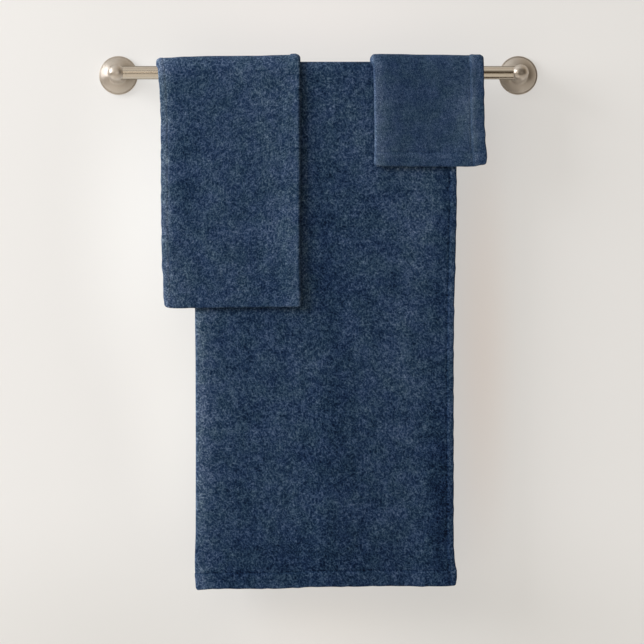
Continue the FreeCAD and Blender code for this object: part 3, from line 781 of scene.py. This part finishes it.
def paintedWall(name, look):
    # matt paint that also glows a little, painted light that keeps it bright beside the set, with pools of
    # painted light and shade, and clear from behind, so that the set can be looked at through the wall
    material, tree = newMaterial(name)
    paint = addNode(tree, "ShaderNodeBsdfDiffuse", inputs={"Color": linear(look["shade"])})
    place = addNode(tree, "ShaderNodeTexCoord")
    tone = linear(look["glowShade"])
    for across, up, halfWide, halfHigh, shade in look["pools"]:
        around = addNode(tree, "ShaderNodeMapping", {"vector_type": "TEXTURE"}, {
            "Vector": place.outputs["Object"], "Location": (across * mm, 0, up * mm),
            "Scale": (halfWide * mm, 1, halfHigh * mm)})
        away = addNode(tree, "ShaderNodeVectorMath", {"operation": "LENGTH"}, {0: around.outputs[0]})
        share = addNode(tree, "ShaderNodeMapRange", {"interpolation_type": "SMOOTHSTEP"}, {
            "Value": away.outputs["Value"], "To Min": 1.0, "To Max": 0.0})
        pool = addNode(tree, "ShaderNodeMix", {"data_type": "RGBA"}, {
            "Factor": share.outputs[0], "A": tone, "B": linear(shade)})
        tone = pool.outputs["Result"]
    glow = addNode(tree, "ShaderNodeEmission", inputs={"Color": tone, "Strength": look["glow"]})
    lit = addNode(tree, "ShaderNodeAddShader", inputs={0: paint.outputs[0], 1: glow.outputs[0]})
    clear = addNode(tree, "ShaderNodeBsdfTransparent")
    side = addNode(tree, "ShaderNodeNewGeometry")
    shader = addNode(tree, "ShaderNodeMixShader", inputs={
        0: side.outputs["Backfacing"], 1: lit.outputs[0], 2: clear.outputs[0]})
    finishMaterial(tree, shader)
    return material


def flatPiece(name, look, material):
    bpy.ops.object.select_all(action="DESELECT")
    turn = [math.radians(angle) for angle in look["turn"]]
    bpy.ops.mesh.primitive_plane_add(size=1, location=look["place"], rotation=turn)
    made = bpy.context.object
    made.name = name
    made.scale = (*look["size"], 1)
    bpy.ops.object.transform_apply(location=True, rotation=True, scale=True)
    made.data.materials.append(material)
    return made


wall = flatPiece("wall", room["wall"], paintedWall("mattWallPaint", room["wall"]))
wall.visible_shadow = False
floor = flatPiece("floor", room["floor"], paintedWall("paleFloor", room["floor"]))
# a brown card low on the right, which only reflections in the metal meet: a painted dark
# reflection in place of the towels, which the metal doesn't mirror
darkCard = flatPiece("darkCard", room["darkCard"], paintedWall("brownCard", room["darkCard"]))
darkCard.visible_camera = darkCard.visible_diffuse = darkCard.visible_shadow = False

# The room round the set, which is what the metal mirrors: pale above and below, a dark band at eye
# level in front, plain walls at the sides, and less light away from the window.
softRoom = {
    "strength": 1.33, "backdrop": "#d8d6d2",
    # from straight down, 0, to straight up, 1
    "bands": [(0.0, "#bcbab8"), (0.3, "#c4c2bf"), (0.33, "#aeacaa"), (0.365, "#51432d"),
              (0.6, "#3f3320"), (0.72, "#a29f9c"), (0.86, "#f9f7f4"), (1.0, "#dad8d5")],
    # the X from which the right gets its shade, and the Y from which the side walls show
    "shadeFrom": -0.9, "shadeTo": 0.9, "shade": "#978b7a",
    "sidesFrom": -0.75, "sidesTo": -0.05, "sides": "#bfb09c",
}
world = bpy.data.worlds.new("softRoom")
world.use_nodes = True
sky = world.node_tree
sky.nodes.clear()
way = addNode(sky, "ShaderNodeTexCoord")
parts = addNode(sky, "ShaderNodeSeparateXYZ", inputs={0: way.outputs["Generated"]})
height = addNode(sky, "ShaderNodeMapRange", inputs={"Value": parts.outputs["Z"], "From Min": -1.0})
bands = addNode(sky, "ShaderNodeValToRGB", inputs={"Fac": height.outputs[0]})
paintRamp(bands.color_ramp, softRoom["bands"])
rightSide = addNode(sky, "ShaderNodeMapRange", {"interpolation_type": "SMOOTHSTEP"}, {
    "Value": parts.outputs["X"], "From Min": softRoom["shadeFrom"], "From Max": softRoom["shadeTo"]})
rightShade = addNode(sky, "ShaderNodeMix", {"data_type": "RGBA"}, {
    "Factor": rightSide.outputs[0], "A": linear("#ffffff"), "B": linear(softRoom["shade"])})
shaded = addNode(sky, "ShaderNodeMix", {"data_type": "RGBA", "blend_type": "MULTIPLY"}, {
    "Factor": 1.0, "A": bands.outputs[0], "B": rightShade.outputs["Result"]})
sideWalls = addNode(sky, "ShaderNodeMapRange", {"interpolation_type": "SMOOTHSTEP"}, {
    "Value": parts.outputs["Y"], "From Min": softRoom["sidesFrom"], "From Max": softRoom["sidesTo"]})
sideTone = addNode(sky, "ShaderNodeMix", {"data_type": "RGBA"}, {
    "Factor": sideWalls.outputs[0], "A": linear("#000000"), "B": linear(softRoom["sides"])})
roundRoom = addNode(sky, "ShaderNodeMix", {"data_type": "RGBA", "blend_type": "LIGHTEN"}, {
    "Factor": 1.0, "A": shaded.outputs["Result"], "B": sideTone.outputs["Result"]})
roomLight = addNode(sky, "ShaderNodeBackground", inputs={
    "Color": roundRoom.outputs["Result"], "Strength": softRoom["strength"]})
backdrop = addNode(sky, "ShaderNodeBackground", inputs={"Color": linear(softRoom["backdrop"])})
seenWay = addNode(sky, "ShaderNodeLightPath")
either = addNode(sky, "ShaderNodeMixShader", inputs={  # the camera sees the plain backdrop
    0: seenWay.outputs["Is Camera Ray"], 1: roomLight.outputs[0], 2: backdrop.outputs[0]})
addNode(sky, "ShaderNodeOutputWorld", inputs={"Surface": either.outputs[0]})
bpy.context.scene.world = world
bpy.context.scene.view_settings.view_transform = "Standard"

# The softboxes. The window's light comes soft, through a sheer curtain that the metal doesn't mirror,
# and only the glint shows in it.
lights = {
    "windowLeft": {"place": (-2.75, -1.5, 0.8), "target": (0, 0, -0.2), "size": (1.6, 1.8),
                   "power": 54, "shade": "#fafbff", "mirrored": False},
    "windowGlint": {"place": (-2.6, -1.42, 0.76), "target": (0, 0, -0.2), "size": (1.5, 1.7),
                    "power": 44, "shade": "#fafbff", "mirrored": True},
    "fillPanel": {"place": (-0.95, -2.3, 0.3), "target": (-0.4, 0, 0), "size": (1.7, 1.4),
                  "power": 7, "shade": "#fff6ea", "mirrored": True},
}
for name, box in lights.items():
    light = bpy.data.lights.new(name, "AREA")
    light.shape = "RECTANGLE"
    light.size, light.size_y = box["size"]
    light.energy = box["power"]
    light.color = linear(box["shade"])[:3]
    holder = addObject(name, light)
    holder.location = box["place"]
    holder.rotation_mode = "QUATERNION"
    facing = Vector(box["target"]) - Vector(box["place"])
    holder.rotation_quaternion = facing.to_track_quat("-Z", "Y")
    holder.visible_camera = False
    holder.visible_glossy = box["mirrored"]

viewpoint = {"across": 5.4 * mm, "up": -359 * mm, "distance": 6.0, "fieldAtBar": 927.4 * mm}
camera = bpy.data.cameras.new("camera")
camera.lens = camera.sensor_width * viewpoint["distance"] / viewpoint["fieldAtBar"]
cameraHolder = addObject("camera", camera)
cameraHolder.location = (viewpoint["across"], barCentre.y - viewpoint["distance"], viewpoint["up"])
cameraHolder.rotation_euler = (math.radians(90), 0, 0)
bpy.context.scene.camera = cameraHolder
print("room, light and camera")
